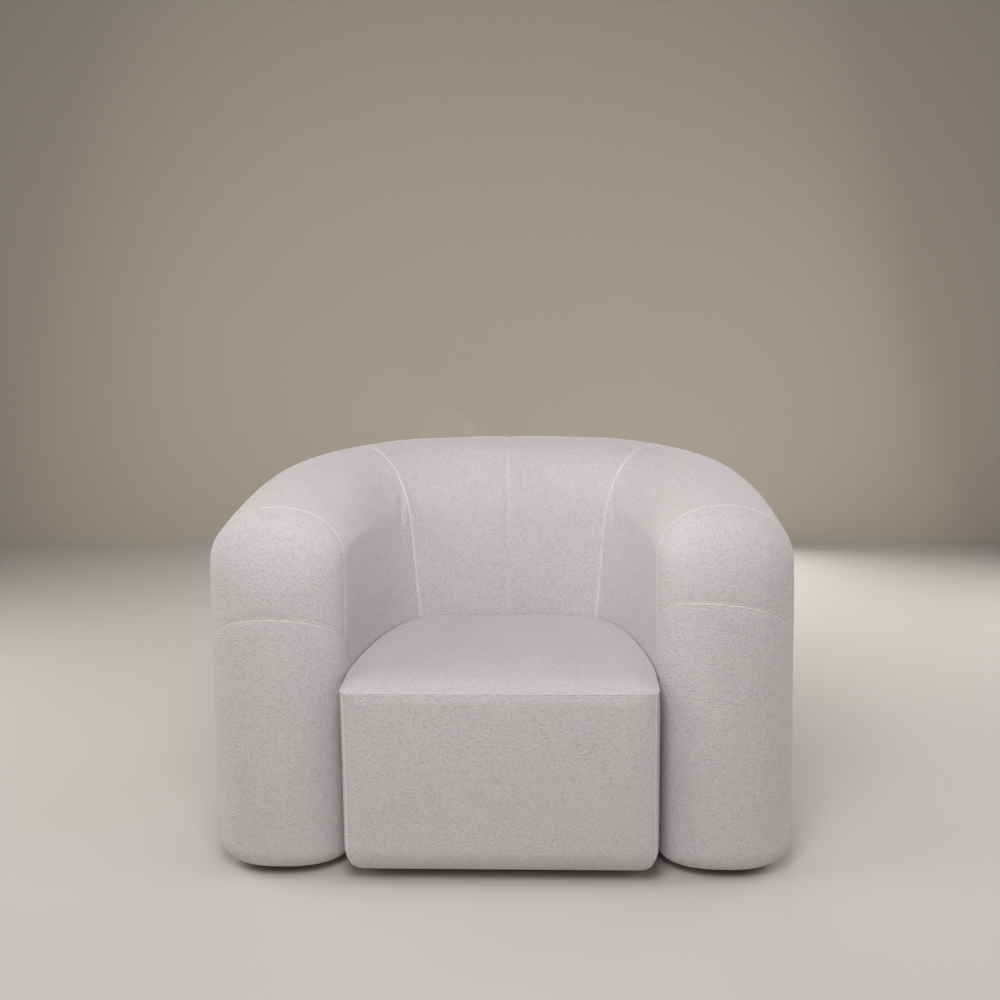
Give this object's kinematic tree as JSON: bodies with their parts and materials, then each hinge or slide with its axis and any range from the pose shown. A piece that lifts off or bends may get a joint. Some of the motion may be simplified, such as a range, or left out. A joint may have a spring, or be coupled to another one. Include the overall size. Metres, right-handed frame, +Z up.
{
  "type": "tub chair",
  "caption": "Upholstered tub chair: a rounded horseshoe wall of padded arms and back round a deep, low seat, on hidden glides.",
  "frame": {"origin": "on the floor, under the middle of the chair's outline", "axes": "+Z up, -Y to the front that one sits from, +X to the right of someone facing the chair"},
  "size_m": [1.2, 0.8999, 0.795],
  "materials": {
    "boucle": "nubby off-white boucle on wadding",
    "foam": "open-cell upholstery foam",
    "felt": "pressed felt",
    "dust_cloth": "black non-woven cloth",
    "plywood": "birch plywood, unfinished",
    "timber": "planed softwood, unfinished",
    "spring_steel": "drawn spring wire",
    "glide": "black moulded plastic"
  },
  "bodies": {
    "root": {"back_base_plate": "plywood", "back_foam": "foam", "back_top_rail": "timber", "dust_cover": "dust_cloth", "front_cross_rail": "timber", "left_arm_base_plate": "plywood", "left_arm_foam": "foam", "left_arm_foot": "glide", "left_arm_front_lower_cover": "boucle", "left_arm_front_upper_cover": "boucle", "left_arm_nose_former": "plywood", "left_arm_rib": "plywood", "left_arm_side_cover": "boucle", "left_arm_top_rail": "timber", "left_back_cover": "boucle", "left_back_rib": "plywood", "left_corner_block": "timber", "left_corner_foam": "foam", "left_corner_rib": "plywood", "left_inner_skin": "plywood", "left_outer_skin": "plywood", "left_rear_foot": "glide", "left_seat_foot": "glide", "left_seat_side_board": "plywood", "left_seat_side_cover": "boucle", "left_seat_side_pad": "foam", "rear_cross_rail": "timber", "right_arm_base_plate": "plywood", "right_arm_foam": "foam", "right_arm_foot": "glide", "right_arm_front_lower_cover": "boucle", "right_arm_front_upper_cover": "boucle", "right_arm_nose_former": "plywood", "right_arm_rib": "plywood", "right_arm_side_cover": "boucle", "right_arm_top_rail": "timber", "right_back_cover": "boucle", "right_back_rib": "plywood", "right_corner_block": "timber", "right_corner_foam": "foam", "right_corner_rib": "plywood", "right_inner_skin": "plywood", "right_outer_skin": "plywood", "right_rear_foot": "glide", "right_seat_foot": "glide", "right_seat_side_board": "plywood", "right_seat_side_cover": "boucle", "right_seat_side_pad": "foam", "seat_foam": "foam", "seat_front_board": "plywood", "seat_front_cover": "boucle", "seat_front_pad": "foam", "seat_rear_board": "plywood", "seat_top_cover": "boucle", "spring_1": "spring_steel", "spring_2": "spring_steel", "spring_3": "spring_steel", "spring_4": "spring_steel", "spring_5": "spring_steel", "spring_pad": "felt"}
  },
  "joints": []
}
